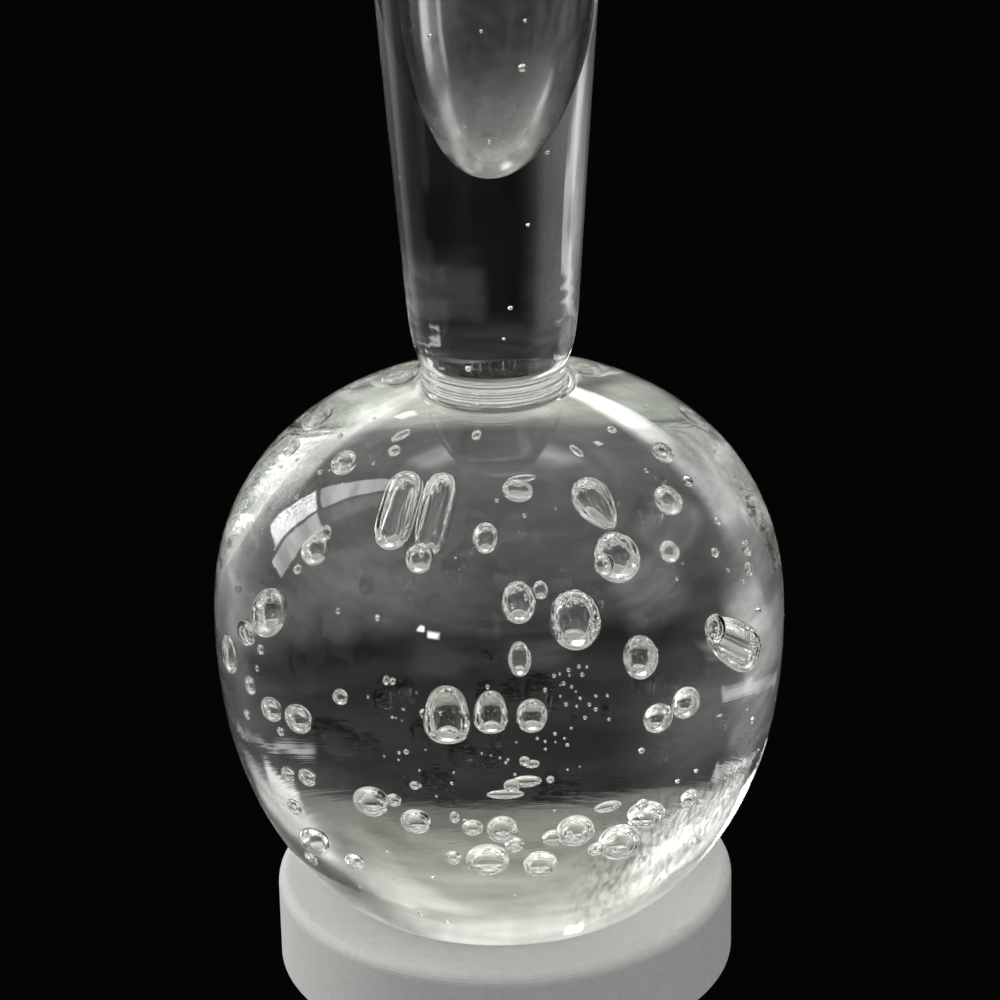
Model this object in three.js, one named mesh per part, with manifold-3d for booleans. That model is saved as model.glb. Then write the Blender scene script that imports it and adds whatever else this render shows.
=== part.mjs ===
// Clear glass bud vase: a solid ball full of trapped bubbles, with a thick drawn neck welded on top.
// Millimetres, +Z up. The origin is the middle of the flat base, and the front is -Y.
import * as THREE from "three";
import { mergeVertices } from "three/addons/utils/BufferGeometryUtils.js";
import Module from "manifold-3d";

// Ball, from the outside
const BALL_DIAMETER = 76;
const BALL_FULLNESS = 2.25; // exponent of the ball's outline, where 2 would be an ellipse
const EQUATOR_HEIGHT = 38; // widest level, above the base
const SHOULDER_RISE = 33; // from the widest level to where the outline would close
const BASE_DIAMETER = 47; // ground flat
const BASE_BEVEL = 0.8; // broken edge of the ground flat

// Core inside the ball: the first gather
const CASING_WALL = 9; // glass over the core at the widest level
const CASING_ROOF = 8; // glass over the core's top
const CASING_FLOOR = 6; // glass under the core
const POST_DIAMETER = 11; // stem of the core, which runs up to the weld
const SEAM = 0.3; // space between the two gathers

// Weld between ball and neck
const WAIST_DIAMETER = 18.8;
const SHOULDER_FILLET = 1.4; // hollow round from the shoulder up to the waist
const COLLAR_HEIGHT = 2;
const COLLAR_BEADS = 2; // soft rings that run round the collar
const BEAD_RELIEF = 0.3;

// Neck
const TOTAL_HEIGHT = 180;
const RIM_DIAMETER = 36;
const NECK_ROOT_DIAMETER = 21.2; // where the straight taper would meet the weld
const FOOT_ROUNDING = 8; // height over which the foot swells from the waist to the taper
const FOOT_SWELL = 1.5; // height by which most of that swelling is done
const LIP_WALL = 3.5;

// Well for the stem
const WELL_DEPTH = 80;
const WELL_DIAMETER = 15.8; // at the top of its rounded nose
const WELL_NOSE_HEIGHT = 18;
const WELL_NOSE_WIDTH = 10.4; // width of the nose's blunt end
const WELL_WANDER = 1.6; // bow of the well to the right, at half its depth

// Bubbles on the core: degrees round from the front (to the right is positive), degrees up from the widest
// level, width as a multiple of a middling bubble's, length up the core as a multiple of that width, and the
// lean of that length to the right in degrees.
const BUBBLE_WIDTH = 4; // a middling bubble
const BUBBLES = [
  [-75, 53, 0.85, 0.95, 0],
  [-36.5, 51, 0.92, 2.4, -14],
  [-22.5, 53.5, 0.85, 2.1, -4],
  [9, 60, 0.95, 0.65, 15],
  [38.5, 52.5, 1.35, 1.15, -5],
  [82, 50, 0.7, 1, 0],
  [-4, 46, 0.65, 1.4, 0],
  [64, 42, 0.9, 1, 0],
  [-24, 38.5, 0.85, 1.05, 0],
  [-58, 31.5, 0.9, 1, 0],
  [36, 35, 1.4, 1, 0],
  [52, 31, 0.65, 1, 0],
  [5, 28, 1.05, 1.15, 0],
  [19.5, 21.5, 1.55, 1.1, 0],
  [4.5, 13, 0.72, 1.4, 0],
  [-68, 9.5, 1.35, 1.1, 32],
  [35, 8, 1.1, 1.15, 0],
  [66, -0.5, 1, 2, -68],
  [-13.3, -2, 1.3, 1.65, 0],
  [-2.5, -0.5, 0.88, 1.7, 0],
  [7, -0.5, 0.95, 1.1, 0],
  [39, -5.5, 0.88, 1, 0],
  [48, -4.5, 0.88, 1.05, 0],
  [-86, -5, 0.9, 1.3, 0],
  [-54, -8, 0.85, 1, 0],
  [-64, -9, 0.7, 1, 0],
  [-54, -22.5, 0.6, 1, 0],
  [-35, -24.5, 1.1, 0.85, 0],
  [-23, -28, 0.9, 0.85, 0],
  [-0.3, -29, 0.85, 1, 0],
  [-8.8, -28, 0.58, 0.8, 0],
  [40.5, -32, 1.1, 0.65, 0],
  [54, -31, 0.6, 1, 0],
  [19, -32, 1.1, 0.9, 0],
  [34.5, -40.5, 1.15, 0.9, 0],
  [-5, -41.5, 1.2, 0.65, 0],
  [10.5, -43.5, 0.95, 0.75, 0],
  [-72, -49, 1, 0.8, 0],
  [-53, -50, 0.6, 0.75, 0],
];
const BUBBLE_SINK = 0.28; // share of its width that a bubble's middle lies below the core's surface
// The upper middle of the pattern repeats behind, turned half round.
const REPEAT_HALF_WIDTH = 70; // degrees to each side of straight behind
const REPEAT_ABOVE = 12; // degrees up from the widest level
const HALF_TURN = 180; // degrees

// Facets
const SIDES = 48;
const BALL_STEPS = 9; // along each half of the ball's outline
const CORE_SIDES = 32;
const CORE_STEPS = 6;
const ROUND_STEPS = 4; // along a fillet, a bead or a lip
const NECK_STEPS = 6; // along the neck's foot and each stretch of the well
const SAME_POINT = 1e-4; // points closer than this are one
const LARGE_BUBBLE = 1; // size from which a bubble has the finer facets
const LARGE_FACETS = [10, 6]; // round a bubble and along it
const SMALL_FACETS = [8, 5];

const ballRadius = BALL_DIAMETER / 2;
const baseRadius = BASE_DIAMETER / 2;
const waistRadius = WAIST_DIAMETER / 2;
const postRadius = POST_DIAMETER / 2;
const rimRadius = RIM_DIAMETER / 2;
const lipRadius = LIP_WALL / 2;

const wasm = await Module();
wasm.setup();

// Egg-shaped body of revolution whose two halves may differ in height, with points by angle above the
// widest level
class Egg {
  constructor(radius, rise, drop) {
    this.radius = radius;
    this.rise = rise;
    this.drop = drop;
  }

  half(angle) {
    return angle < 0 ? -this.drop : this.rise;
  }

  at(angle) {
    const power = 2 / BALL_FULLNESS;
    const out = this.radius * Math.max(Math.cos(angle), 0) ** power;
    const up = this.half(angle) * Math.abs(Math.sin(angle)) ** power;
    return new THREE.Vector2(out, EQUATOR_HEIGHT + up);
  }

  // Outward direction of the surface
  facing(angle) {
    const power = 2 - 2 / BALL_FULLNESS;
    const out = Math.max(Math.cos(angle), 0) ** power / this.radius;
    const up = Math.abs(Math.sin(angle)) ** power / this.half(angle);
    return new THREE.Vector2(out, up).normalize();
  }

  // Angle at which the surface has this radius
  angleAtRadius(radius) {
    return Math.acos((radius / this.radius) ** (BALL_FULLNESS / 2));
  }

  // Angle below the widest level at which the surface has this height
  angleAtHeight(height) {
    return -Math.asin(((EQUATOR_HEIGHT - height) / this.drop) ** (BALL_FULLNESS / 2));
  }

  run(from, to, steps) {
    const points = [];
    for (let i = 0; i <= steps; i++) points.push(this.at(from + ((to - from) * i) / steps));
    return points;
  }
}

// The ball's lower half is sized so that it meets the ground flat at the base's own diameter.
const baseCut = (1 - (baseRadius / ballRadius) ** BALL_FULLNESS) ** (1 / BALL_FULLNESS);
const ball = new Egg(ballRadius, SHOULDER_RISE, EQUATOR_HEIGHT / baseCut);
const core = new Egg(ballRadius - CASING_WALL, SHOULDER_RISE - CASING_ROOF, EQUATOR_HEIGHT - CASING_FLOOR);
const hollow = new Egg(core.radius + SEAM, core.rise + SEAM, core.drop + SEAM);

// The shoulder runs on along its own slope to the waist, where the fillet turns it upright.
const shoulderAngle = ball.angleAtRadius(waistRadius + SHOULDER_FILLET);
const shoulderEnd = ball.at(shoulderAngle);
const shoulderFacing = ball.facing(shoulderAngle);
const filletCorner = shoulderEnd.y + (SHOULDER_FILLET * shoulderFacing.x) / shoulderFacing.y;
const weldHeight = filletCorner + SHOULDER_FILLET;
const footHeight = weldHeight + COLLAR_HEIGHT;
const wellFloor = TOTAL_HEIGHT - WELL_DEPTH;

function point(radius, height) {
  return new THREE.Vector2(radius, height);
}

// Points of an outline with the meeting points of its stretches taken once
function outline(...stretches) {
  const points = stretches.flat();
  return points.filter((p, i) => i === 0 || p.distanceTo(points[i - 1]) > SAME_POINT);
}

// Quarter circle of the lip, from one angle to another
function lipRound(fromAngle, toAngle) {
  const { x, y } = lipCentre();
  const clockwise = toAngle < fromAngle;
  const arc = new THREE.EllipseCurve(x, y, lipRadius, lipRadius, fromAngle, toAngle, clockwise);
  return arc.getPoints(ROUND_STEPS);
}

// Solid turned about the upright axis from an outline that starts at the bottom and ends at the top
function turned(points, sides = SIDES) {
  return new THREE.LatheGeometry(points, sides).rotateX(Math.PI / 2);
}

function solidOf(geometry) {
  const bare = new THREE.BufferGeometry().setAttribute("position", geometry.getAttribute("position"));
  const merged = mergeVertices(bare.setIndex(geometry.index), SAME_POINT);
  const vertProperties = merged.getAttribute("position").array;
  return new wasm.Manifold(new wasm.Mesh({ numProp: 3, vertProperties, triVerts: merged.index.array }));
}

function geometryOf(solid) {
  const mesh = solid.getMesh();
  const geometry = new THREE.BufferGeometry();
  geometry.setAttribute("position", new THREE.BufferAttribute(mesh.vertProperties, 3));
  geometry.setIndex(new THREE.BufferAttribute(mesh.triVerts, 1));
  geometry.computeVertexNormals();
  return geometry;
}

function clearGlass(name, geometry, color, roughness) {
  const clear = { transparent: true, opacity: 0.35 };
  const material = new THREE.MeshStandardMaterial({ color, roughness, metalness: 0, ...clear });
  const mesh = new THREE.Mesh(geometry, material);
  mesh.name = name;
  return mesh;
}

// One bubble as an egg of air, lying in the core's surface
function bubble(around, up, size, stretch, lean) {
  const width = size * BUBBLE_WIDTH;
  const turn = THREE.MathUtils.degToRad(around);
  const angle = THREE.MathUtils.degToRad(up);
  const spot = core.at(angle);
  const facing = core.facing(angle);
  const outward = new THREE.Vector3(Math.sin(turn) * facing.x, -Math.cos(turn) * facing.x, facing.y);
  const right = new THREE.Vector3(Math.cos(turn), Math.sin(turn), 0);
  const upward = new THREE.Vector3().crossVectors(outward, right);
  const place = new THREE.Vector3(Math.sin(turn) * spot.x, -Math.cos(turn) * spot.x, spot.y);
  place.addScaledVector(outward, -BUBBLE_SINK * width);
  const pose = new THREE.Matrix4().makeBasis(outward, right, upward).setPosition(place);
  const facets = size < LARGE_BUBBLE ? SMALL_FACETS : LARGE_FACETS;
  const egg = new THREE.SphereGeometry(0.5, ...facets).rotateX(Math.PI / 2);
  egg.scale(width, width, width * stretch);
  egg.rotateX(-THREE.MathUtils.degToRad(lean));
  return solidOf(egg.applyMatrix4(pose));
}

function bubbleCore() {
  const lower = core.run(-Math.PI / 2, 0, CORE_STEPS);
  const upper = core.run(0, core.angleAtRadius(postRadius), CORE_STEPS);
  const top = [point(postRadius, weldHeight), point(0, weldHeight)];
  let solid = solidOf(turned(outline(lower, upper, top), CORE_SIDES));
  for (const [around, up, ...form] of BUBBLES) {
    solid = solid.subtract(bubble(around, up, ...form));
    const repeats = Math.abs(around) < REPEAT_HALF_WIDTH && up > REPEAT_ABOVE;
    if (repeats) solid = solid.subtract(bubble(around + HALF_TURN, up, ...form));
  }
  return clearGlass("bubble_core", geometryOf(solid), 0xdce4dc, 0.08);
}

function ballCasing() {
  const flat = [point(0, 0), point(baseRadius - BASE_BEVEL, 0)];
  const flank = ball.run(ball.angleAtHeight(BASE_BEVEL), 0, BALL_STEPS);
  const shoulder = ball.run(0, shoulderAngle, BALL_STEPS);
  const corner = point(waistRadius, filletCorner);
  const fillet = new THREE.QuadraticBezierCurve(shoulderEnd, corner, point(waistRadius, weldHeight));
  const holeRadius = postRadius + SEAM;
  const hole = [point(holeRadius, weldHeight)];
  const roof = hollow.run(hollow.angleAtRadius(holeRadius), 0, BALL_STEPS);
  const floor = hollow.run(0, -Math.PI / 2, BALL_STEPS);
  const outside = [...flat, ...flank, ...shoulder, ...fillet.getPoints(ROUND_STEPS)];
  const shell = turned(outline(outside, hole, roof, floor));
  return clearGlass("ball_casing", geometryOf(solidOf(shell)), 0xe2e9e0, 0.04);
}

function weldCollar() {
  const edge = [];
  const steps = COLLAR_BEADS * ROUND_STEPS;
  for (let i = 0; i <= steps; i++) {
    const swell = BEAD_RELIEF * Math.abs(Math.sin((Math.PI * i) / ROUND_STEPS));
    edge.push(point(waistRadius + swell, weldHeight + (COLLAR_HEIGHT * i) / steps));
  }
  const disc = turned(outline([point(0, weldHeight)], edge, [point(0, footHeight)]));
  return clearGlass("weld_collar", geometryOf(solidOf(disc)), 0xe6ece6, 0.06);
}

// Radius of the neck's straight taper
function taperRadius(height) {
  const share = (height - footHeight) / (TOTAL_HEIGHT - footHeight);
  return NECK_ROOT_DIAMETER / 2 + (rimRadius - NECK_ROOT_DIAMETER / 2) * share;
}

function taperPoint(height) {
  return point(taperRadius(height), height);
}

// Middle of the round lip's section, which the neck's outside and the well's mouth share
function lipCentre() {
  const height = TOTAL_HEIGHT - lipRadius;
  return point(taperRadius(height) - lipRadius, height);
}

// The well as a solid, to be cut from the neck: a blunt nose, a straight flare and a mouth that rolls out
function well() {
  const noseTop = wellFloor + WELL_NOSE_HEIGHT;
  const noseEnd = point(WELL_DIAMETER / 2, noseTop);
  const noseAim = point(WELL_NOSE_WIDTH / 2, wellFloor);
  const nose = new THREE.QuadraticBezierCurve(point(0, wellFloor), noseAim, noseEnd);
  const mouth = lipRound(Math.PI, Math.PI / 2);
  const flare = new THREE.LineCurve(noseEnd, mouth[0]);
  const above = TOTAL_HEIGHT + LIP_WALL;
  const lid = [point(lipCentre().x, above), point(0, above)];
  const bore = turned(outline(nose.getPoints(NECK_STEPS), flare.getPoints(NECK_STEPS), mouth, lid));
  const places = bore.getAttribute("position");
  for (let i = 0; i < places.count; i++) {
    const share = Math.min((places.getZ(i) - wellFloor) / WELL_DEPTH, 1);
    places.setX(i, places.getX(i) + WELL_WANDER * Math.sin(Math.PI * share));
  }
  return solidOf(bore);
}

function neck() {
  const start = point(waistRadius, footHeight);
  const swellAim = taperPoint(footHeight + FOOT_SWELL);
  const taperStart = taperPoint(footHeight + FOOT_ROUNDING);
  const foot = new THREE.QuadraticBezierCurve(start, swellAim, taperStart);
  const lip = lipRound(0, Math.PI / 2);
  const side = [...foot.getPoints(NECK_STEPS), ...lip];
  const rod = turned(outline([point(0, footHeight)], side, [point(0, TOTAL_HEIGHT)]));
  return clearGlass("neck", geometryOf(solidOf(rod).subtract(well())), 0xe6ebe6, 0.05);
}

const vase = new THREE.Group();
vase.add(bubbleCore(), ballCasing(), weldCollar(), neck());

export default vase;
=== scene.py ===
import math

import bmesh
import bpy
import numpy as np
from mathutils import Matrix, Vector


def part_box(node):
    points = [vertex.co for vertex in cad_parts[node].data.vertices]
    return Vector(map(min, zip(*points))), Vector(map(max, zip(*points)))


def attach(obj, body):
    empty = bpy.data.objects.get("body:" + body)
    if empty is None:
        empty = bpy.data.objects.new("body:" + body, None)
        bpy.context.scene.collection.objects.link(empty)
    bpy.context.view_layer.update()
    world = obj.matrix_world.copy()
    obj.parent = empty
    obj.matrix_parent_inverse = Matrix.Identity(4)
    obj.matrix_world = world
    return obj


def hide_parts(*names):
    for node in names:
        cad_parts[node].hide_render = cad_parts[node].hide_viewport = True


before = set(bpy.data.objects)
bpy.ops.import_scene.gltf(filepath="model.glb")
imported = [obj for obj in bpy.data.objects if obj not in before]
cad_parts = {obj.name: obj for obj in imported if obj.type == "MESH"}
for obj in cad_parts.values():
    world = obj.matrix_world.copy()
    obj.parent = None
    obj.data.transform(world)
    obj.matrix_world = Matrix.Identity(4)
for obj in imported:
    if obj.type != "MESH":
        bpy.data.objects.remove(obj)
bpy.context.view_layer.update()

# Clear glass bud vase: a solid ball full of trapped bubbles, with a thick drawn neck and a narrow well.
# Metres, +Z up. The origin is the middle of the flat base, and the front is -Y.
MM = 0.001

# Ball, from the outside
BALL_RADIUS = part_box("ball_casing")[1].x
BALL_FULLNESS = 2.25  # exponent of the ball's outline, where 2 would be an ellipse
EQUATOR_HEIGHT = 38 * MM  # widest level, above the base
SHOULDER_RISE = 33 * MM  # from the widest level to where the outline would close
BASE_RADIUS = 23.5 * MM  # ground flat
BASE_BEVEL = 0.8 * MM  # broken edge of the ground flat

# Core inside the ball, on whose surface the bubbles lie
CORE_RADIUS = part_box("bubble_core")[1].x
CORE_RISE = 25 * MM
CORE_DROP = EQUATOR_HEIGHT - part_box("bubble_core")[0].z

# Weld between ball and neck
WELD_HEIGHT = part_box("weld_collar")[0].z
FOOT_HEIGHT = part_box("weld_collar")[1].z
WAIST_RADIUS = 9.4 * MM
SHOULDER_FILLET = 1.4 * MM  # hollow round from the shoulder up to the waist
COLLAR_RIDGES = (0.16, 0.84)  # fine rings round the collar, as shares of its height
RIDGE_RELIEF = 0.2 * MM
RIDGE_WIDTH = 0.28 * MM

# Neck
TOTAL_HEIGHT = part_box("neck")[1].z
RIM_RADIUS = 18 * MM
NECK_ROOT_RADIUS = 10.6 * MM  # where the straight taper would meet the weld
FOOT_ROUNDING = 8 * MM  # height over which the foot swells from the waist to the taper
FOOT_SWELL = 1.5 * MM  # height by which most of that swelling is done
BACK_ROUNDING = 16 * MM  # the same two heights behind, where the foot swells more gently
BACK_SWELL = 6 * MM
MARKED_RISE = 21 * MM  # height of the stretch above the weld that the tools have marked
LIP_RADIUS = 1.75 * MM

# Well for the stem
WELL_FLOOR = 100 * MM
WELL_RADIUS = 7.9 * MM  # at the top of its rounded nose
WELL_NOSE_HEIGHT = 18 * MM
WELL_NOSE_WIDTH = 5.2 * MM  # aim of the blunt end's curve, to each side
WELL_WANDER = 1.6 * MM  # bow of the well to the right, at half its depth
HAZE_FADE = (2.7 * MM, 15.3 * MM)  # heights above its end over which the mineral haze thins
HAZE_THINNING = 0.8  # share of the haze that is gone above that

# Bubbles on the core: degrees round from the front (to the right is positive), degrees up from the widest
# level, width as a multiple of a middling bubble's, length up the core as a multiple of that width, the lean
# of that length to the right in degrees, how much it narrows towards its lower end, how much that end is
# flattened, how much fuller than an egg its ends are, and how much further out it lies in millimetres.
BUBBLE_WIDTH = 4 * MM
BUBBLE_SINK = 0.28  # share of its width that a bubble's middle lies below the core's surface
BUBBLES = [
    (-75, 53, 0.85, 0.95, 0, 0, 0, 0, 0),
    (-36, 50, 1.2, 2.1, -14, 0, 0, 1, 1.2),
    (-27, 55.5, 1.12, 2.3, -10, 0.1, 0, 1, -3.2),
    (9, 60, 0.95, 0.65, 15, 0, 0, 0, 0),
    (38.5, 51.5, 1.55, 1.1, -5, 0.45, 0, 0, 0),
    (82, 50, 0.7, 1, 0, 0, 0, 0, 0),
    (-4, 46, 0.78, 1.2, 0, 0, 0, 0, 0),
    (64, 42, 0.9, 1, 0, 0, 0, 0, 0),
    (-22.5, 38, 0.85, 1.05, 0, 0, 0, 0, 1.5),
    (-58, 31.5, 0.9, 1, 0, 0, 0, 0, 0),
    (36, 35.5, 1.45, 1, 0, 0, 0, 0, 0),
    (52, 31, 0.65, 1, 0, 0, 0, 0, 0),
    (5, 28, 1.05, 1.15, 0, 0, 0, 0, 0),
    (19.5, 21.5, 1.55, 1.1, 0, 0, 0, 0, 0),
    (4.5, 13, 0.72, 1.4, 0, 0, 0, 0, 0),
    (-68, 9.5, 1.35, 1.1, 32, 0.15, 0, 0, 0),
    (35, 8, 1.1, 1.15, 0, 0, 0, 0, 0),
    (-13, -2, 1.4, 1.65, 0, 0, 0.45, 0.35, 0),
    (-2.5, -0.5, 0.97, 1.7, 0, -0.1, 0.4, 0.25, 0),
    (7, -0.5, 0.95, 1.1, 0, 0, 0, 0, 0),
    (39, -5.5, 0.95, 1, 0, 0, 0, 0, 0),
    (47.5, -4.5, 0.95, 1.05, 0, 0, 0, 0, 0),
    (-86, -5, 0.9, 1.3, 0, 0, 0, 0, 0),
    (-54, -8, 0.95, 1, 0, 0, 0, 0, 0),
    (-64, -9, 0.8, 1, 0, 0, 0, 0, 0),
    (-54, -22.5, 0.6, 1, 0, 0, 0, 0, 0),
    (-35, -24.5, 1.1, 0.85, 0, 0, 0, 0, 0),
    (-23, -28, 0.9, 0.85, 0, 0, 0, 0, 0),
    (-0.5, -29, 0.9, 1, 0, 0, 0, 0, 0),
    (-8, -28, 0.62, 0.8, 0, 0, 0, 0, 0),
    (40.5, -32.5, 1.2, 0.65, 0, 0, 0, 0, 0),
    (54, -31, 0.6, 1, 0, 0, 0, 0, 0),
    (19, -32, 1.1, 0.9, 0, 0, 0, 0, 0),
    (34.5, -40.5, 1.25, 0.9, 0, 0, 0, 0, 0),
    (-5, -41.5, 1.2, 0.65, 0, 0, 0, 0, 0),
    (10.5, -43.5, 0.95, 0.75, 0, 0, 0, 0, 0),
    (-72, -49, 1, 0.8, 0, 0, 0, 0, 0),
    (-53, -50, 0.6, 0.75, 0, 0, 0, 0, 0),
]
# A horn-shaped one at the right stands out from the core: the same nine numbers, and degrees that its lower
# end points outward.
HORN = (71.5, -1, 1.2, 2, -35, -0.15, 0.25, 0.4, -1)
HORN_TIP = 50
# The upper middle of the pattern repeats behind, turned half round.
REPEAT_HALF_WIDTH = 70  # degrees to each side of straight behind
REPEAT_ABOVE = 12  # degrees up from the widest level

# Small bubbles beside them: degrees round and up, width and height in millimetres, and millimetres above the
# core. One that would touch another is sunk until it is clear.
SINK_STEP = 0.5 * MM
SINK_LIMIT = 8 * MM
SMALL_BUBBLES = [
    (-102, 39, 2.6, 2.2, 0),
    (-52.3, 36.5, 2, 2, 2.3),
    (-66, 68, 1.3, 2.6, 0),
    (-58, 64, 1.6, 1.6, 0),
    (-17, 77, 1.2, 1.8, 0),
    (14, 67, 3.4, 1.0, 0),
    (46, 66, 1.0, 2.2, 0),
    (76, 64, 1.2, 1.2, 0),
    (27.5, 33.5, 2.7, 2.7, 2.9),
    (12, 31.5, 1.9, 2.1, 0),
    (74, 29, 1.0, 1.0, 0),
    (66, 24, 1.2, 1.2, 0),
    (80, 18, 1.6, 1.8, 0),
    (77, 14, 1.4, 1.6, 0),
    (53, 10, 3.2, 3.6, 3.2),
    (-66.5, 6, 4.2, 2.9, 3.8),
    (-59, 25, 1.2, 1.2, 0),
    (-27, 6, 0.9, 1.2, 0),
    (-39, 0, 2.0, 2.0, 0),
    (-66, 2, 1.2, 1.2, 0),
    (-71, -6, 2.0, 2.4, 0),
    (-75, -14, 1.2, 1.3, 0),
    (-57, -11, 1.2, 1.2, 1.5),
    (-21, -3, 1.4, 1.2, 0),
    (5, -9, 1.3, 1.3, 0),
    (7, -11, 1.8, 1.1, 0),
    (2, -15, 2.0, 1.8, 0),
    (0.5, -20, 4.2, 1.2, 0),
    (6.5, -21, 3.4, 1.5, 0),
    (11, -14, 1.0, 1.0, 0),
    (75, -18, 0.8, 1.0, 0),
    (-27, -21, 1.9, 1.7, 0),
    (-21, -16, 1.3, 1.1, 0),
    (-12, -24, 1.2, 1.8, 0),
    (-60.5, -23.5, 2.0, 2.0, 0),
    (-64, -34, 2.0, 2.2, 0),
    (-14, -38, 1.9, 1.9, 0),
    (-84, -55.5, 2.2, 1.4, 0),
    (26, -24, 3.4, 1.5, 0),
    (36, -26, 1.6, 1.5, 0),
    (43, -37, 2.0, 1.8, 0),
    (24.5, -36, 2.2, 1.9, 1.0),
    (16, -41.5, 2.8, 2.1, -3.5),
    (3, -42, 2.2, 2.0, 0.5),
    (2.5, -32.5, 1.4, 1.3, 0.8),
    (-116, -12, 2.4, 1.5, 0),
    (114, -6, 2.4, 1.5, 0),
    (116, -24, 2.4, 1.5, 0),
]

# Seeds: the finest bubbles, strewn through the ball and the neck, with a few swarms of them
SEED_SPREAD = 11  # which of the possible strewings
BALL_SEEDS = 130
NECK_SEEDS = 30
SEED_WIDTHS = (0.3 * MM, 0.9 * MM)
SEED_DEPTHS = (0.6, 0.93)  # as shares of the way from the ball's middle to its surface
SEED_LEVELS = (-58, 62)  # degrees up from the widest level
# Swarms: degrees round and up, spread in degrees, and number of seeds
SWARMS = [(16, 6, 4, 16), (-21, -3, 3, 9), (10, -7, 5, 14), (2, -6, 4, 10), (-20, -13, 6, 12), (22, 0, 3, 8)]
SWARM_WIDTHS = (0.25 * MM, 0.55 * MM)
SWARM_DEPTH = 3  # millimetres below the core's surface, at most
# Seeds in the neck that show from the front: right, behind and up in millimetres, and width
NECK_SPECKS = [
    (3.6, -4, 94.3, 0.5),
    (1.7, -4, 83.3, 0.6),
    (1, -4, 79.2, 0.4),
    (-2.6, -4, 75.3, 0.7),
    (-6.4, -9, 120, 0.6),
    (-0.7, -11, 121, 0.5),
    (4.3, -10, 122, 0.5),
    (3.9, -10, 116, 1.1),
    (5.5, -3, 103.5, 0.5),
    (-10.2, -3, 99.8, 0.4),
    (-2.8, -10, 108.5, 0.4),
    (0, -10, 106.7, 0.5),
]
# More of them are strewn higher in the neck's wall.
NECK_SEED_RISE = 25 * MM  # above the well's end
NECK_SEED_DROP = 12 * MM  # below the rim
NECK_SEED_DEPTHS = (2.2 * MM, 1.2 * MM)  # below the outside of the neck
STRING = [(-7, -6.5), (0, -8), (4.5, -9.5)]  # bend of a string of seeds, in degrees round and up
STRING_STEPS = 12  # from its first seed to its last
SEED_CLEARANCE = 0.35 * MM  # least glass between a seed and any other bubble

# Hand work: waves round the glass as turns, start, twist per metre of height, and share of the radius
WAVES = [(2, 0.6, 14, 0.0045), (3, 2.1, -22, 0.002), (5, 4.0, 31, 0.0007)]
TRUE_RIM = 20 * MM  # stretch below the rim over which the waves fade out
# Marks of the tools on the neck's foot: height above the weld, width, relief, slope, and degrees round to the
# side that they are on, counted from the right by way of the back
TOOL_MARKS = [
    (3.2 * MM, 0.35 * MM, 0.05 * MM, 0.5 * MM, 200),
    (5.6 * MM, 0.30 * MM, 0.06 * MM, -0.4 * MM, 265),
    (7.0 * MM, 0.45 * MM, 0.05 * MM, 0.7 * MM, 240),
    (9.8 * MM, 0.60 * MM, 0.05 * MM, -0.8 * MM, 250),
    (13.5 * MM, 0.80 * MM, 0.06 * MM, 1.0 * MM, 230),
]
MARK_TURN = 0.7  # radians round, from the right, at which a sloping mark is at its own height
COLLAR_FADE = (-0.3, 0.5)  # how far forward the collar's rings come out, where straight to the front is 1
BACK_FADE = (0, 0.7)  # how far back the foot grows gentler, where straight behind is 1

# Facets
SIDES = 144
FLAT_STEPS = 8
BEVEL_STEPS = 6
ROUND_STEPS = 44  # along each half of the ball's outline
FILLET_STEPS = 10
COLLAR_STEPS = 48
FOOT_STEPS = 22
BACK_STEPS = 40
ROD_STEPS = 34  # up the neck's outside, and down the well
LIP_STEPS = 18
NOSE_STEPS = 32
FINE_STEP = 0.45 * MM  # along the marked stretch of the neck
FLAT_TOLERANCE = 0.01 * MM  # below this height the outside belongs to the ground flat
FLAT_MARGIN = BASE_BEVEL / 3  # narrow ring that keeps the shading of the flat apart from the bevel's
LARGE_BUBBLE = 3.3 * MM  # longer than this, a bubble has the finest facets
FINE_SEED = 1.2 * MM  # no longer than this, it has the coarsest
COARSE_LEVEL = 2  # times that a bubble's facets are divided
MIDDLE_LEVEL = 3
FINE_LEVEL = 4

# Glass. Each texture is given as waves per metre, detail and roughness.
GLASS_COLOUR = (0.985, 0.99, 0.975, 1)
GLASS_IOR = 1.5
DEPTH_TINT = (0.9, 0.95, 0.88, 1)
DEPTH_DENSITY = 3.5
POLISHED_ROUGHNESS = 0.004
GROUND_ROUGHNESS = 0.14
FILM_ROUGHNESS = 0.35  # of the haze in the well
FILM_SHADE = 0.28  # share of the light that the haze keeps from passing straight on
FILM_SCUFF = 0.3  # how scuffed the haze is, where the ground flat is 1
MOTTLE = (420, 4, 0.6)  # of the haze
MOTTLE_RANGE = (0.35, 0.65, 0.65, 1.1)  # from and to, and the strengths that these become
RIPPLES = (60, 1, 0.4)  # of the fire-polished skin
RIPPLE_RELIEF = 0.18 * MM
RIPPLE_STRENGTH = 0.5
RINGS = (110, 5, 0.6)  # level lines low on the ball
RING_SQUEEZE = (1, 1, 5)
RING_FADE = (8 * MM, 24 * MM, 0.45, 0)  # heights from and to, and the strengths there
SCUFFS = (1800, 3, 0.7)
SCUFF_RELIEF = 0.04 * MM
SCUFF_STRENGTH = 0.4

# Stand that the vase is photographed on
STAND_RADIUS = 31 * MM
STAND_HEIGHT = 12 * MM
STAND_EDGE = 1.5 * MM
STAND_GAP = 0.2 * MM  # air under the ground base
STAND_SIDES = 160
STAND_EDGE_STEPS = 5
STAND_DARK = (0.58, 0.578, 0.56)
STAND_PALE = (0.63, 0.628, 0.61)
STAND_ROUGHNESS = 0.9
TOOTH = (900, 5, 0.5)
TOOTH_SHARES = (0.3, 0.7)  # where the card is at its darkest and at its palest
TOOTH_RELIEF = 0.1 * MM
TOOTH_STRENGTH = 0.2

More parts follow.
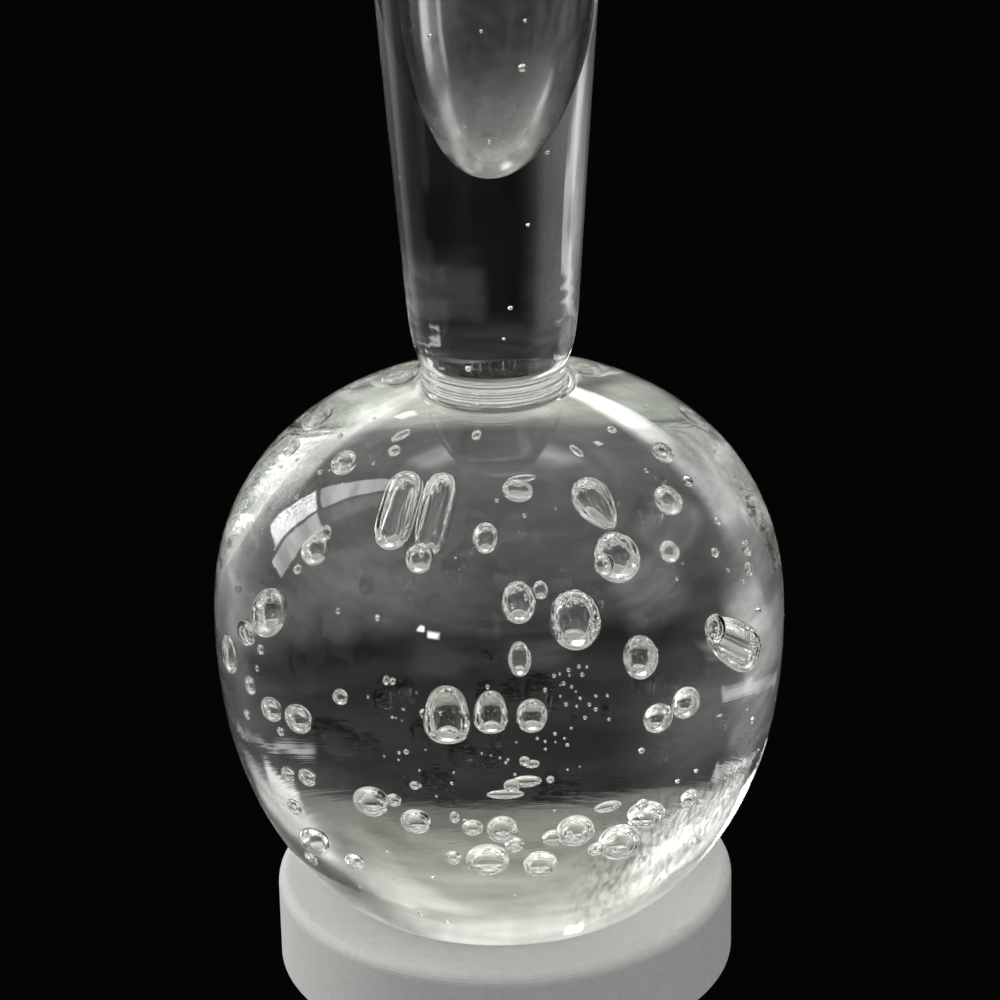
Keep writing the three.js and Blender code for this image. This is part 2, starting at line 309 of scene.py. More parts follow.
# Room that the glass shows, by degrees up, with a brightness and a tint: the half behind the vase, and the
# half before it
COOL = (0.99, 1, 1)
WARM = (1, 0.99, 0.88)
ROOM_BEHIND = [
    (-90, 0.56, WARM),
    (-68, 0.56, WARM),
    (-62, 0.12, COOL),
    (-50, 0.08, COOL),
    (-34, 0.05, COOL),
    (-28, 0.006, COOL),
    (-8.2, 0.006, COOL),
    (-7.4, 0.17, WARM),
    (-2, 0.3, WARM),
    (8, 0.46, WARM),
    (20, 0.82, WARM),
    (55, 1.1, COOL),
    (90, 1.1, COOL),
]
ROOM_BEFORE = [
    (-90, 0.05, COOL),
    (-30, 0.03, COOL),
    (-4, 0.012, COOL),
    (10, 0.05, COOL),
    (15, 0.25, COOL),
    (20, 0.7, COOL),
    (40, 0.8, COOL),
    (90, 1.1, COOL),
]
HALVES_FADE = (75, 115)  # degrees round from straight behind over which the one gives way to the other
HORIZON_CURVE = 0.0048  # rise of the half behind to both sides, in degrees per square degree round
HORIZON_WIDTH = 60  # degrees round past which it rises no further
HORIZON_FADE = (-40, -20)  # degrees up over which that rise comes in
# Darker parts of the walls: from and to in degrees round from straight behind (to the right is positive) with
# the softness of these edges, the same in degrees up, and the share of the light that is missing
WALL_SHADES = [
    ((30, 90, 20), (-20, 42, 8), 0.65),
    ((26, 90, 8), (17, 46, 6), 0.95),
]
# Uneven light: each texture is given as waves per radian, detail and roughness, and each range as from and
# to, and the strengths that these become.
CLOUDS = (2.6, 5, 0.6)
CLOUD_SQUEEZE = (1, 1, 5)
CLOUD_RANGE = (0.3, 0.7, 0.6, 1.25)
THREADS = (58, 3, 0.6)  # of a hanging cloth at the left
THREAD_RANGE = (0.38, 0.6, -0.75, 0.2)
CLOTH = ((-62, -14, 7), (-2, 34, 6))  # where it hangs, written like the darker parts
WARP = (8, 3, 0.5)  # by which the edges of bright things waver
WARP_REACH = 4  # degrees, from side to side
# Bright things in the room: from and to in degrees round, from and to in degrees up, rise per degree round,
# softness of the edges, and brightness
PANELS = [
    (-67.2, -57, 12, 33, 0, 0.7, 12),  # window, four panes
    (-67.2, -57, 35, 59, 0, 0.7, 6.5),
    (-79, -69, 8, 33, 0, 0.7, 6),
    (-79, -69, 35, 59, 0, 1.5, 1),
    (-55, -24, 3, 24, 0, 5, 1),  # wall lit beside the window
    (-90, -44, -34, 5, 0, 6, 0.13),  # cupboards at the left and the right
    (-90, -46, -20, -10.5, 0, 2.5, 0.22),
    (-60, -22, -20, -8, 0, 8, 0.09),
    (-60, -42, -27, -18, 0, 3, 0.24),
    (-60, -42, -8, -2, 0, 2, 0.11),
    (50, 90, -34, -8, 0, 16, 0.045),
    (30, 62, -6.3, -5.1, 0.26, 0.8, 0.3),  # shelf edges
    (31, 42, -9.2, -7.8, 0.26, 1.2, 0.14),
    (-68, -38, -11.2, -9.2, -0.27, 0.5, 0.3),
    (-60, -38, 0.2, 2.6, -0.33, 0.5, 0.65),
    (-155.4, -151, 14.2, 16.8, 0, 0.9, 30),  # lamps
    (-149, -146.8, 15.8, 18, 0, 0.7, 30),
    (31, 34, 47.5, 49.5, 0, 0.6, 9),
    (-18.5, -14.5, 34.5, 37.5, 0, 0.6, 9),
    (-40, 40, 59, 65, 0, 6, 5),
    (-119, -106, 0, 11, 0, 1, 0.6),  # far windows
    (-140, -100, 10, 45, 0, 8, 0.6),
    (-101, -80, -8, 28, 0, 4, 0.6),
    (64, 98, 22, 44, 0, 4, 1.3),
    (98, 126, 6, 34, 0, 6, 1.5),
    (-166, -146, -4, 13, 0, 5, 0.5),
    (153, 176, 1, 13, 0, 4, 0.8),
    (32, 60, 3, 14, 0, 4, 0.8),
    (37, 48, -2, 3, 0, 1.5, 0.8),
    (-110, -54, -82, -36, 0, 5, 0.42),  # pale ground at the left and the right
    (-110, -50, -84, -58, 0, 5, 1),
    (58, 110, -82, -44, 0, 4, 0.42),
    (50, 110, -84, -58, 0, 5, 0.25),
]
BACKDROP = 0.0015  # as the camera sees it directly

# Camera
CAMERA_DISTANCE = 500 * MM
CAMERA_ELEVATION = 25
CAMERA_PITCH = -23.34
CAMERA_TURN = 0.0485
CAMERA_ROLL = 1.2
CAMERA_LENS = 135.18  # millimetres
CAMERA_PICTURE = 36  # millimetres, from side to side
CAMERA_NEAREST = 10 * MM

# Bounces of light, enough to cross the glass and its bubbles
ALL_BOUNCES = 32
CLEAR_BOUNCES = 32
SHINY_BOUNCES = 16


class Egg:
    """Body of revolution whose two halves differ in height. Its points go by angle above the widest level."""

    def __init__(self, radius, rise, drop):
        self.radius = radius
        self.rise = rise
        self.drop = drop

    def half(self, angle):
        return -self.drop if angle < 0 else self.rise

    def at(self, angle):
        power = 2 / BALL_FULLNESS
        out = self.radius * max(math.cos(angle), 0) ** power
        up = self.half(angle) * abs(math.sin(angle)) ** power
        return out, EQUATOR_HEIGHT + up

    def facing(self, angle):
        """Outward direction of the surface, as a step out and a step up."""
        power = 2 - 2 / BALL_FULLNESS
        out = max(math.cos(angle), 0) ** power / self.radius
        up = abs(math.sin(angle)) ** power / self.half(angle)
        return Vector((out, up)).normalized()

    def angle_at_radius(self, radius):
        return math.acos((radius / self.radius) ** (BALL_FULLNESS / 2))

    def angle_at_height(self, height):
        """Angle below the widest level at which the surface has this height."""
        return -math.asin(((EQUATOR_HEIGHT - height) / self.drop) ** (BALL_FULLNESS / 2))

    def run(self, start, end, steps):
        return [self.at(start + (end - start) * i / steps) for i in range(steps + 1)]


base_cut = (1 - (BASE_RADIUS / BALL_RADIUS) ** BALL_FULLNESS) ** (1 / BALL_FULLNESS)
ball = Egg(BALL_RADIUS, SHOULDER_RISE, EQUATOR_HEIGHT / base_cut)
core = Egg(CORE_RADIUS, CORE_RISE, CORE_DROP)


def line(start, end, steps):
    return [tuple(Vector(start).lerp(Vector(end), i / steps)) for i in range(steps + 1)]


def bezier(points, steps):
    """Smooth curve from the first point to the last, drawn towards those between."""
    degree = len(points) - 1
    curve = []
    for i in range(steps + 1):
        t = i / steps
        shares = [math.comb(degree, k) * t**k * (1 - t) ** (degree - k) for k in range(degree + 1)]
        curve.append(tuple(sum(s * p[axis] for s, p in zip(shares, points)) for axis in (0, 1)))
    return curve


def arc(centre, radius, start, end, steps):
    angles = [start + (end - start) * i / steps for i in range(steps + 1)]
    return [(centre[0] + radius * math.cos(a), centre[1] + radius * math.sin(a)) for a in angles]


def taper_point(height):
    share = (height - FOOT_HEIGHT) / (TOTAL_HEIGHT - FOOT_HEIGHT)
    return NECK_ROOT_RADIUS + (RIM_RADIUS - NECK_ROOT_RADIUS) * share, height


def joined(*stretches):
    """One outline from stretches that meet, with the meeting points taken once."""
    points = [stretches[0][0]]
    for stretch in stretches:
        points += stretch[1:]
    return points


def ball_outline():
    edge = BASE_RADIUS - BASE_BEVEL
    flat = line((0, 0), (edge - FLAT_MARGIN, 0), FLAT_STEPS) + [(edge, 0)]
    bevel_angle = ball.angle_at_height(BASE_BEVEL)
    bevel = bezier([(edge, 0), (BASE_RADIUS, 0), ball.at(bevel_angle)], BEVEL_STEPS)
    flank = ball.run(bevel_angle, 0, ROUND_STEPS)
    shoulder_angle = ball.angle_at_radius(WAIST_RADIUS + SHOULDER_FILLET)
    shoulder = ball.run(0, shoulder_angle, ROUND_STEPS)
    corner = (WAIST_RADIUS, WELD_HEIGHT - SHOULDER_FILLET)
    fillet = bezier([shoulder[-1], corner, (WAIST_RADIUS, WELD_HEIGHT)], FILLET_STEPS)
    return joined(flat, bevel, flank, shoulder, fillet)


def collar_outline():
    tall = FOOT_HEIGHT - WELD_HEIGHT
    lower = (WAIST_RADIUS, WELD_HEIGHT)
    upper = (WAIST_RADIUS, FOOT_HEIGHT)
    points = []
    for radius, height in line(lower, upper, COLLAR_STEPS):
        away = [(height - WELD_HEIGHT - share * tall) / RIDGE_WIDTH for share in COLLAR_RIDGES]
        points.append((radius + RIDGE_RELIEF * sum(math.exp(-d * d) for d in away), height))
    return [lower] + points[1:-1] + [upper]


def foot_outline(swell, rounding, steps):
    """From the waist out to the straight taper."""
    aim = taper_point(FOOT_HEIGHT + swell)
    return bezier([(WAIST_RADIUS, FOOT_HEIGHT), aim, taper_point(FOOT_HEIGHT + rounding)], steps)


def neck_outline():
    """From the weld up the outside, over the lip and down the well, with the number of the highest point."""
    foot_end = taper_point(FOOT_HEIGHT + FOOT_ROUNDING)
    foot = foot_outline(FOOT_SWELL, FOOT_ROUNDING, FOOT_STEPS)
    marked_end = taper_point(FOOT_HEIGHT + MARKED_RISE)
    marked = line(foot_end, marked_end, round((MARKED_RISE - FOOT_ROUNDING) / FINE_STEP))
    lip_height = TOTAL_HEIGHT - LIP_RADIUS
    lip_centre = (taper_point(lip_height)[0] - LIP_RADIUS, lip_height)
    outer_lean = math.atan2(RIM_RADIUS - NECK_ROOT_RADIUS, TOTAL_HEIGHT - FOOT_HEIGHT)
    nose_top = (WELL_RADIUS, WELL_FLOOR + WELL_NOSE_HEIGHT)
    inner_lean = math.atan2(lip_centre[0] - LIP_RADIUS - nose_top[0], lip_height - nose_top[1])
    lip = arc(lip_centre, LIP_RADIUS, -outer_lean, math.pi + inner_lean, LIP_STEPS)
    rod = line(marked_end, lip[0], ROD_STEPS)
    flare = line(lip[-1], nose_top, ROD_STEPS)
    nose = bezier([nose_top, (WELL_NOSE_WIDTH, WELL_FLOOR), (0, WELL_FLOOR)], NOSE_STEPS)
    crest = len(joined(foot, marked, rod, lip[: LIP_STEPS // 2 + 1])) - 1
    return joined(foot, marked, rod, lip, flare, nose), crest


def smooth_step(value, low, high):
    t = np.clip((value - low) / (high - low), 0, 1)
    return t * t * (3 - 2 * t)


def waved(turn, radius, height):
    """The radius less the waves of hand work."""
    share = sum(s * (1 + np.cos(n * turn + start + twist * height)) / 2 for n, start, twist, s in WAVES)
    share = share * (1 - smooth_step(height, TOTAL_HEIGHT - TRUE_RIM, TOTAL_HEIGHT))
    return radius * (1 - share)


def foot_excess(radius, height):
    """How much the neck's foot stands out past the gentler foot that it has behind."""
    back = foot_outline(BACK_SWELL, BACK_ROUNDING, BACK_STEPS)
    gentle = np.interp(height, [p[1] for p in back], [p[0] for p in back])
    swelling = (height > FOOT_HEIGHT) & (height < FOOT_HEIGHT + BACK_ROUNDING)
    return np.where(swelling, np.maximum(radius - gentle, 0), 0)


def hand_worked(turn, radius, height):
    """The radius after the waves and tool marks of hand work, which only take away."""
    worn = waved(turn, radius, height)
    for rise, width, relief, slope, side in TOOL_MARKS:
        level = FOOT_HEIGHT + rise + slope * np.sin(turn - MARK_TURN)
        facing = (1 + np.cos(turn - math.radians(side))) / 2
        worn = worn - relief * facing**2 * np.exp(-(((height - level) / width) ** 2))
    faded = WAIST_RADIUS + (worn - WAIST_RADIUS) * smooth_step(-np.sin(turn), *COLLAR_FADE)
    worn = np.where((height > WELD_HEIGHT) & (height < FOOT_HEIGHT), faded, worn)
    return worn - foot_excess(radius, height) * smooth_step(np.sin(turn), *BACK_FADE)


class Shells:
    """Closed shells gathered into one mesh, with the haze and the grinding at every vertex."""

    def __init__(self):
        self.vertices = []
        self.faces = []
        self.haze = []
        self.ground = []
        self.count = 0

    def add(self, vertices, faces, haze=0.0, ground=0.0):
        self.vertices.append(vertices)
        self.faces += [tuple(i + self.count for i in face) for face in faces]
        self.haze.append(np.broadcast_to(haze, len(vertices)))
        self.ground.append(np.broadcast_to(ground, len(vertices)))
        self.count += len(vertices)

    def mesh(self, name):
        mesh = bpy.data.meshes.new(name)
        mesh.from_pydata(np.concatenate(self.vertices).tolist(), [], self.faces)
        for label, values in (("haze", self.haze), ("ground", self.ground)):
            attribute = mesh.attributes.new(label, "FLOAT", "POINT")
            attribute.data.foreach_set("value", np.concatenate(values).astype(np.float32))
        mesh.shade_smooth()
        return mesh


def add_body(shells):
    """The outside and the well, as one closed lathe-turned shell."""
    outer = joined(ball_outline(), collar_outline())
    neck, crest = neck_outline()
    outline = np.array(joined(outer, neck))
    crest += len(outer) - 1
    turns = np.arange(SIDES) * 2 * math.pi / SIDES
    rings = outline[1:-1]
    radius = np.repeat(rings[:, :1], SIDES, 1)
    height = np.repeat(rings[:, 1:], SIDES, 1)
    turn = np.repeat(turns[None], len(rings), 0)
    inside = np.arange(len(rings))[:, None] >= crest
    flat = height < FLAT_TOLERANCE
    radius = np.where(inside | flat, radius, hand_worked(turn, radius, height))
    shift = WELL_WANDER * np.sin(math.pi * (height - WELL_FLOOR) / (TOTAL_HEIGHT - WELL_FLOOR))
    x = radius * np.cos(turn) + np.where(inside, shift, 0)
    y = radius * np.sin(turn)
    grid = np.stack([x, y, height], -1).reshape(-1, 3)
    vertices = np.concatenate([[[0, 0, 0]], grid, [[0, 0, WELL_FLOOR]]])
    haze = np.where(inside, 1 - HAZE_THINNING * smooth_step(height - WELL_FLOOR, *HAZE_FADE), 0)
    haze = np.concatenate([[0], haze.ravel(), [1]])
    ground = np.concatenate([[1], np.where(flat, 1, 0).ravel(), [0]])
    faces = []
    last = len(vertices) - 1
    top = last - SIDES
    for i in range(SIDES):
        after = (i + 1) % SIDES
        faces.append((0, 1 + after, 1 + i))
        faces.append((top + i, top + after, last))
        for ring in range(len(rings) - 1):
            low = 1 + ring * SIDES
            high = low + SIDES
            faces.append((low + i, low + after, high + after, high + i))
    shells.add(vertices, faces, haze, ground)


def sphere_of(level):
    """Vertices and inward faces of a ball of radius 1, finer at each level."""
    made = bmesh.new()
    bmesh.ops.create_icosphere(made, subdivisions=level, radius=1)
    vertices = np.array([v.co for v in made.verts])
    faces = [tuple(v.index for v in reversed(f.verts)) for f in made.faces]
    made.free()
    return vertices, faces


class Bubbles:
    """Air in the glass, with the places that are taken."""

    def __init__(self, shells):
        self.shells = shells
        self.coarse = sphere_of(COARSE_LEVEL)
        self.middle = sphere_of(MIDDLE_LEVEL)
        self.fine = sphere_of(FINE_LEVEL)
        self.taken = []

    def sphere_for(self, length):
        if length > LARGE_BUBBLE:
            return self.fine
        if length > FINE_SEED:
            return self.middle
        return self.coarse

    def clear(self, place, reach):
        return all((place - other).length > reach + size + SEED_CLEARANCE for other, size in self.taken)

    def add(self, place, axes, sizes, narrowing=0.0, flattening=0.0, fullness=0.0):
        """A bubble with its half sizes along three axes, the last of which is its length."""
        unit, faces = self.sphere_for(2 * max(sizes))
        along = unit[:, 2:]
        across = unit[:, :2] * (1 - narrowing * (1 - along) / 2) * np.sqrt(1 + fullness * along**2)
        along = np.where(along < 0, along * (1 - flattening), along)
        local = np.concatenate([across, along], 1) * np.array(sizes)
        self.shells.add(local @ np.array(axes) + np.array(place), faces)
        self.taken.append((place, max(sizes)))


def core_frame(around, up):
    """A point of the core's surface, with the directions outward, to the right and up there."""
    turn = math.radians(around)
    angle = math.radians(up)
    out, height = core.at(angle)
    facing = core.facing(angle)
    place = Vector((math.sin(turn) * out, -math.cos(turn) * out, height))
    outward = Vector((math.sin(turn) * facing.x, -math.cos(turn) * facing.x, facing.y))
    right = Vector((math.cos(turn), math.sin(turn), 0))
    return place, outward, right, outward.cross(right)


def add_large_bubbles(bubbles):
    def lay(turn, tip, around, up, size, stretch, lean, narrowing, flattening, fullness, above):
        place, outward, right, upward = core_frame(around + turn, up)
        width = size * BUBBLE_WIDTH
        middle = place + outward * (above * MM - BUBBLE_SINK * width)
        leaning = Matrix.Rotation(math.radians(-lean), 3, outward)
        right = leaning @ right
        tipping = Matrix.Rotation(math.radians(-tip), 3, right)
        axes = (tipping @ outward, right, tipping @ leaning @ upward)
        sizes = (width / 2, width / 2, width * stretch / 2)
        bubbles.add(middle, axes, sizes, narrowing, flattening, fullness)

    lay(0, HORN_TIP, *HORN)
    for row in BUBBLES:
        lay(0, 0, *row)
        if abs(row[0]) < REPEAT_HALF_WIDTH and row[1] > REPEAT_ABOVE:
            lay(180, 0, *row)


def add_small_bubbles(bubbles):
    for around, up, width, tall, above in SMALL_BUBBLES:
        place, outward, right, upward = core_frame(around, up)
        place = place + outward * above * MM
        half = width * MM / 2
        sizes = (min(half, tall * MM / 2), half, tall * MM / 2)
        depth = 0.0
        while not bubbles.clear(place - outward * depth, max(sizes)) and depth < SINK_LIMIT:
            depth += SINK_STEP
        bubbles.add(place - outward * depth, (outward, right, upward), sizes)


class Seeds:
    """Strews the finest bubbles where there is room for them."""

    def __init__(self, bubbles):
        self.bubbles = bubbles
        self.draw = np.random.default_rng(SEED_SPREAD)

    def strew(self, place, width):
        upright = (Vector((1, 0, 0)), Vector((0, 1, 0)), Vector((0, 0, 1)))
        half = width / 2
        if self.bubbles.clear(place, half):
            self.bubbles.add(place, upright, (half, half, half))

    def fill_ball(self):
        middle = Vector((0, 0, EQUATOR_HEIGHT))
        for _ in range(BALL_SEEDS):
            turn = self.draw.uniform(0, 2 * math.pi)
            out, height = ball.at(math.radians(self.draw.uniform(*SEED_LEVELS)))
            depth = self.draw.uniform(*SEED_DEPTHS)
            width = SEED_WIDTHS[0] + (SEED_WIDTHS[1] - SEED_WIDTHS[0]) * self.draw.random() ** 2
            spot = Vector((math.cos(turn) * out, math.sin(turn) * out, height))
            self.strew(middle.lerp(spot, depth), width)

    def add_swarms(self):
        for around, up, spread, count in SWARMS:
            for _ in range(count):
                spot = (around + self.draw.normal(0, spread), up + self.draw.normal(0, spread))
                place, outward, *_ = core_frame(*spot)
                depth = self.draw.uniform(0, SWARM_DEPTH)
                self.strew(place - outward * depth * MM, self.draw.uniform(*SWARM_WIDTHS))

    def add_string(self):
        for around, up in bezier(STRING, STRING_STEPS):
            self.strew(core_frame(around, up)[0], self.draw.uniform(*SWARM_WIDTHS))

    def fill_neck(self):
        for *spot, width in NECK_SPECKS:
            self.strew(Vector(spot) * MM, width * MM)
        for _ in range(NECK_SEEDS):
            height = self.draw.uniform(WELL_FLOOR + NECK_SEED_RISE, TOTAL_HEIGHT - NECK_SEED_DROP)
            turn = self.draw.uniform(0, 2 * math.pi)
            wall = taper_point(height)[0]
            out = self.draw.uniform(wall - NECK_SEED_DEPTHS[0], wall - NECK_SEED_DEPTHS[1])
            width = self.draw.uniform(*SEED_WIDTHS)
            self.strew(Vector((math.cos(turn) * out, math.sin(turn) * out, height)), width)


def add_seeds(bubbles):
    seeds = Seeds(bubbles)
    seeds.fill_ball()
    seeds.add_swarms()
    seeds.add_string()
    seeds.fill_neck()


class Nodes:
    """Adds nodes to a tree and links or sets what each is fed."""

    def __init__(self, tree):
        self.tree = tree
        tree.nodes.clear()

    def add(self, kind, inputs=None, **settings):
        node = self.tree.nodes.new(kind)
        for name, value in settings.items():
            setattr(node, name, value)
        for key, value in (inputs or {}).items():
            self.feed(node.inputs[key], value)
        return node

    def feed(self, socket, value):
        if isinstance(value, bpy.types.NodeSocket):
            self.tree.links.new(value, socket)
        else:
            socket.default_value = value

    def math(self, operation, *values):
        return self.add("ShaderNodeMath", dict(enumerate(values)), operation=operation).outputs[0]

    def ease(self, value, low, high, to_low=0.0, to_high=1.0):
        inputs = {"Value": value, "From Min": low, "From Max": high, "To Min": to_low, "To Max": to_high}
        return self.add("ShaderNodeMapRange", inputs, interpolation_type="SMOOTHSTEP").outputs["Result"]

    def within(self, value, low, high, soft):
        rise = self.ease(value, low - soft, low + soft)
        fall = self.ease(value, high - soft, high + soft, 1.0, 0.0)
        return self.math("MULTIPLY", rise, fall)

    def patch(self, across, sides, upward, levels):
        """1 within a patch of the room and 0 past its soft edges."""
        return self.math("MULTIPLY", self.within(across, *sides), self.within(upward, *levels))

    def noise(self, place, texture, output="Fac"):
        scale, detail, roughness = texture
        inputs = {"Vector": place, "Scale": scale, "Detail": detail, "Roughness": roughness}
        return self.add("ShaderNodeTexNoise", inputs).outputs[output]

    def squeezed(self, place, scale):
        return self.add("ShaderNodeMapping", {"Vector": place, "Scale": scale}).outputs[0]

    def bump(self, height, strength, relief, under=None):
        inputs = {"Height": height, "Strength": strength, "Distance": relief}
        if under is not None:
            inputs["Normal"] = under
        return self.add("ShaderNodeBump", inputs).outputs["Normal"]

    def vector(self, operation, first, second):
        return self.add("ShaderNodeVectorMath", {0: first, 1: second}, operation=operation).outputs[0]

    def blend(self, share, first, second):
        """One colour that gives way to another. The numbers are the mix node's sockets for colours."""
        return self.add("ShaderNodeMix", {"Factor": share, 6: first, 7: second}, data_type="RGBA").outputs[2]

    def ramp(self, value, stops):
        node = self.add("ShaderNodeValToRGB", {"Fac": value})
        elements = node.color_ramp.elements
        for _ in stops[2:]:
            elements.new(0.5)
        for element, (position, colour) in zip(elements, stops):
            element.position = position
            element.color = (*colour, 1)
        return node.outputs["Color"]

    def sky(self, up, levels):
        """Colour by degrees up, from rows of degrees up, brightness and tint."""
        stops = []
        for elevation, level, tint in levels:
            stops.append(((elevation + 90) / 180, tuple(level * t for t in tint)))
        return self.ramp(self.math("DIVIDE", self.math("ADD", up, 90.0), 180.0), stops)


def glass_material():
    """Clear hot-worked glass with a faint green tint, a hazed well and a ground base."""
    material = bpy.data.materials.new("clear_glass")
    material.use_nodes = True
    nodes = Nodes(material.node_tree)
    place = nodes.add("ShaderNodeTexCoord").outputs["Object"]
    height = nodes.add("ShaderNodeSeparateXYZ", {0: place}).outputs["Z"]
    haze = nodes.add("ShaderNodeAttribute", attribute_name="haze").outputs["Fac"]
    ground = nodes.add("ShaderNodeAttribute", attribute_name="ground").outputs["Fac"]
    film = nodes.math("MULTIPLY", haze, nodes.ease(nodes.noise(place, MOTTLE), *MOTTLE_RANGE))
    rough = nodes.math("MULTIPLY_ADD", film, FILM_ROUGHNESS, POLISHED_ROUGHNESS)
    rough = nodes.math("MULTIPLY_ADD", ground, GROUND_ROUGHNESS, rough)
    clear = nodes.math("MULTIPLY_ADD", film, -FILM_SHADE, 1.0)
    rings = nodes.noise(nodes.squeezed(place, RING_SQUEEZE), RINGS)
    low = nodes.ease(height, *RING_FADE)
    rippled = nodes.math("MULTIPLY_ADD", rings, low, nodes.noise(place, RIPPLES))
    ripples = nodes.bump(rippled, RIPPLE_STRENGTH, RIPPLE_RELIEF)
    worn = nodes.math("MULTIPLY_ADD", film, FILM_SCUFF, ground)
    scuffs = nodes.math("MULTIPLY", nodes.noise(place, SCUFFS), worn)
    shader_inputs = {
        "Base Color": GLASS_COLOUR,
        "Roughness": rough,
        "IOR": GLASS_IOR,
        "Transmission Weight": clear,
        "Normal": nodes.bump(scuffs, SCUFF_STRENGTH, SCUFF_RELIEF, ripples),
    }
    shader = nodes.add("ShaderNodeBsdfPrincipled", shader_inputs)
    tint = nodes.add("ShaderNodeVolumeAbsorption", {"Color": DEPTH_TINT, "Density": DEPTH_DENSITY})
    outputs = {"Surface": shader.outputs["BSDF"], "Volume": tint.outputs["Volume"]}
    nodes.add("ShaderNodeOutputMaterial", outputs)
    return material


def make_vase():
    shells = Shells()
    add_body(shells)
    bubbles = Bubbles(shells)
    add_large_bubbles(bubbles)
    add_small_bubbles(bubbles)
    add_seeds(bubbles)
    vase = bpy.data.objects.new("glass_body", shells.mesh("glass_body"))
    bpy.context.scene.collection.objects.link(vase)
    vase.data.materials.append(glass_material())
    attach(vase, "root")
    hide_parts("bubble_core", "ball_casing", "weld_collar", "neck")


def stand_material():
    """Pale matte card with a faint tooth."""
    material = bpy.data.materials.new("pale_stand")
    material.use_nodes = True
    nodes = Nodes(material.node_tree)
    place = nodes.add("ShaderNodeTexCoord").outputs["Object"]
    tooth = nodes.noise(place, TOOTH)
    dark, pale = TOOTH_SHARES
    shader_inputs = {
        "Base Color": nodes.ramp(tooth, [(dark, STAND_DARK), (pale, STAND_PALE)]),
        "Roughness": STAND_ROUGHNESS,
        "Normal": nodes.bump(tooth, TOOTH_STRENGTH, TOOTH_RELIEF),
    }
    shader = nodes.add("ShaderNodeBsdfPrincipled", shader_inputs)
    nodes.add("ShaderNodeOutputMaterial", {"Surface": shader.outputs["BSDF"]})
    return material


def make_stand():
    """Plain pale round stand as the floor."""
    made = bmesh.new()
    bmesh.ops.create_cone(
        made,
        cap_ends=True,
        segments=STAND_SIDES,
        radius1=STAND_RADIUS,
        radius2=STAND_RADIUS,
        depth=STAND_HEIGHT,
    )
    edges = [e for e in made.edges if all(v.co.z > 0 for v in e.verts)]
    bmesh.ops.bevel(
        made,
        geom=edges,
        offset=STAND_EDGE,
        segments=STAND_EDGE_STEPS,
        affect="EDGES",
        profile=0.5,
    )
    mesh = bpy.data.meshes.new("stand")
    made.to_mesh(mesh)
    made.free()
    mesh.transform(Matrix.Translation((0, 0, -STAND_GAP - STAND_HEIGHT / 2)))
    stand = bpy.data.objects.new("stand", mesh)
    bpy.context.scene.collection.objects.link(stand)
    mesh.materials.append(stand_material())


def room_light(nodes, around, up):
    """Light of the walls, the floor and the ceiling."""
    aside = nodes.math("ABSOLUTE", around)
    bend = nodes.math("MINIMUM", aside, HORIZON_WIDTH)
    curve = nodes.ease(up, *HORIZON_FADE, 0.0, HORIZON_CURVE)
    lift = nodes.math("MULTIPLY", nodes.math("MULTIPLY", bend, bend), curve)
    behind = nodes.sky(nodes.math("SUBTRACT", up, lift), ROOM_BEHIND)
    before = nodes.sky(up, ROOM_BEFORE)
    room = nodes.blend(nodes.ease(aside, *HALVES_FADE), behind, before)
    for sides, levels, missing in WALL_SHADES:
        left = nodes.math("MULTIPLY_ADD", nodes.patch(around, sides, up, levels), -missing, 1.0)
        room = nodes.vector("MULTIPLY", room, left)
    return room


def panel_light(nodes, way, around, up):
    """Light of the bright things, whose edges waver a little."""
    warp = nodes.add("ShaderNodeSeparateColor", {0: nodes.noise(way, WARP, "Color")})
    half = WARP_REACH / 2
    sway = nodes.math("MULTIPLY_ADD", warp.outputs[0], WARP_REACH, nodes.math("SUBTRACT", around, half))
    rise = nodes.math("MULTIPLY_ADD", warp.outputs[1], WARP_REACH, nodes.math("SUBTRACT", up, half))
    total = 0.0
    for west, east, low, high, tilt, soft, level in PANELS:
        middle = (west + east) / 2
        leaned = nodes.math("SUBTRACT", rise, nodes.math("MULTIPLY_ADD", sway, tilt, -tilt * middle))
        panel = nodes.patch(sway, (west, east, soft), leaned, (low, high, soft))
        total = nodes.math("MULTIPLY_ADD", panel, level, total)
    return nodes.add("ShaderNodeCombineColor", {0: total, 1: total, 2: total}).outputs[0]


def unevenness(nodes, way, around, up):
    """Clouds over the whole room, and the threads of the cloth."""
    clouds = nodes.noise(nodes.squeezed(way, CLOUD_SQUEEZE), CLOUDS)
    sides, levels = CLOTH
    threads = nodes.ease(nodes.noise(way, THREADS), *THREAD_RANGE)
    weave = nodes.math("MULTIPLY", nodes.patch(around, sides, up, levels), threads)
    return nodes.math("MULTIPLY", nodes.ease(clouds, *CLOUD_RANGE), nodes.math("ADD", weave, 1.0))


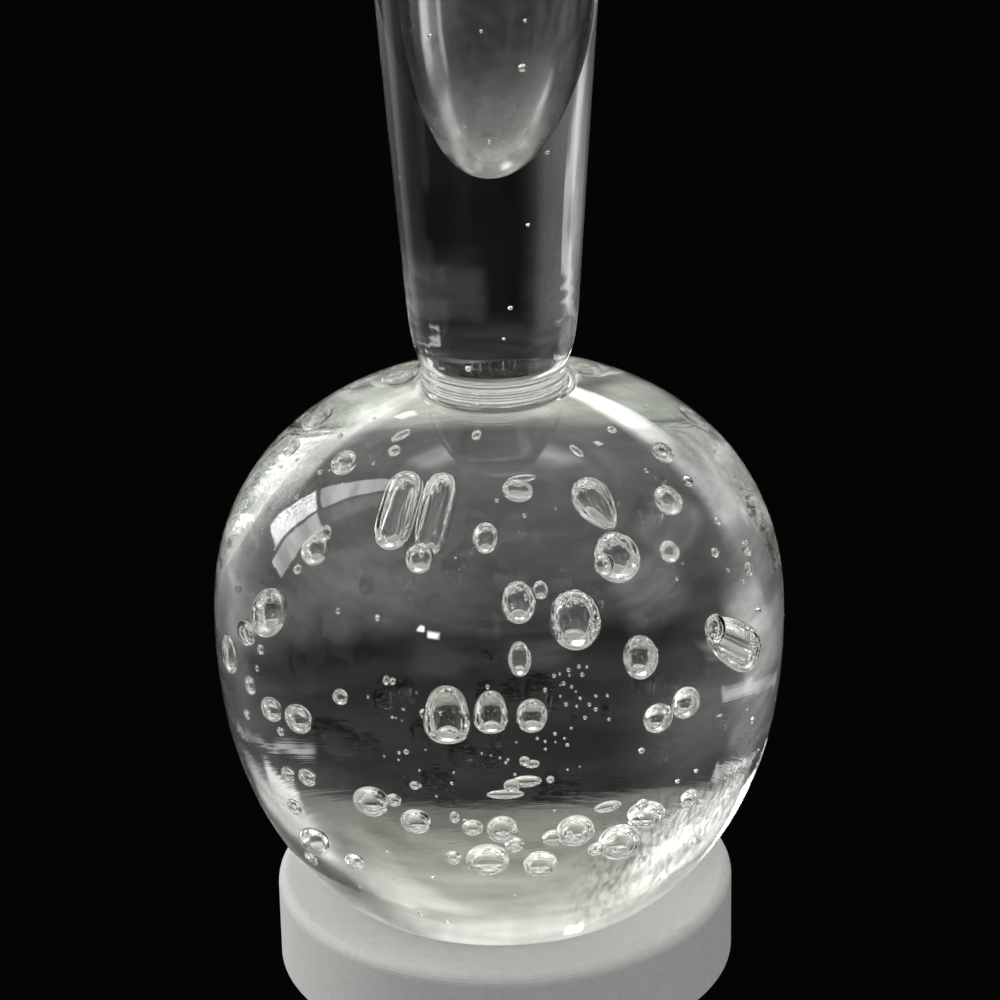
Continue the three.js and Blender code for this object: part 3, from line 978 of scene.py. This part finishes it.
def make_world():
    """Soft studio room with a tall window at the left, which lights the glass. The camera sees black."""
    world = bpy.data.worlds.new("studio")
    bpy.context.scene.world = world
    world.use_nodes = True
    nodes = Nodes(world.node_tree)
    way = nodes.add("ShaderNodeTexCoord").outputs["Generated"]
    part = nodes.add("ShaderNodeSeparateXYZ", {0: way})
    up = nodes.math("DEGREES", nodes.math("ARCSINE", part.outputs["Z"]))
    around = nodes.math("DEGREES", nodes.math("ARCTAN2", part.outputs["X"], part.outputs["Y"]))
    light = nodes.vector("ADD", room_light(nodes, around, up), panel_light(nodes, way, around, up))
    light = nodes.vector("MULTIPLY", light, unevenness(nodes, way, around, up))
    seen = nodes.add("ShaderNodeLightPath").outputs["Is Camera Ray"]
    shown = nodes.blend(seen, light, (BACKDROP, BACKDROP, BACKDROP, 1))
    background = nodes.add("ShaderNodeBackground", {"Color": shown, "Strength": 1.0})
    nodes.add("ShaderNodeOutputWorld", {"Surface": background.outputs["Background"]})


def make_camera():
    data = bpy.data.cameras.new("camera")
    data.lens = CAMERA_LENS
    data.sensor_width = CAMERA_PICTURE
    data.clip_start = CAMERA_NEAREST
    camera = bpy.data.objects.new("camera", data)
    bpy.context.scene.collection.objects.link(camera)
    elevation = math.radians(CAMERA_ELEVATION)
    pitch = math.radians(CAMERA_PITCH)
    turn = math.radians(CAMERA_TURN)
    place = Vector((0, -math.cos(elevation), math.sin(elevation))) * CAMERA_DISTANCE
    forward = Vector((math.sin(turn) * math.cos(pitch), math.cos(turn) * math.cos(pitch), math.sin(pitch)))
    right = forward.cross(Vector((0, 0, 1))).normalized()
    upward = right.cross(forward)
    roll = Matrix.Rotation(math.radians(CAMERA_ROLL), 3, forward)
    right, upward = roll @ right, roll @ upward
    camera.matrix_world = Matrix((right, upward, -forward)).transposed().to_4x4()
    camera.location = place + Vector((0, 0, EQUATOR_HEIGHT))
    bpy.context.scene.camera = camera


def set_rendering():
    cycles = bpy.context.scene.cycles
    cycles.max_bounces = ALL_BOUNCES
    cycles.transmission_bounces = CLEAR_BOUNCES
    cycles.glossy_bounces = SHINY_BOUNCES
    bpy.context.scene.view_settings.view_transform = "Standard"


make_camera()
make_world()
make_stand()
make_vase()
set_rendering()
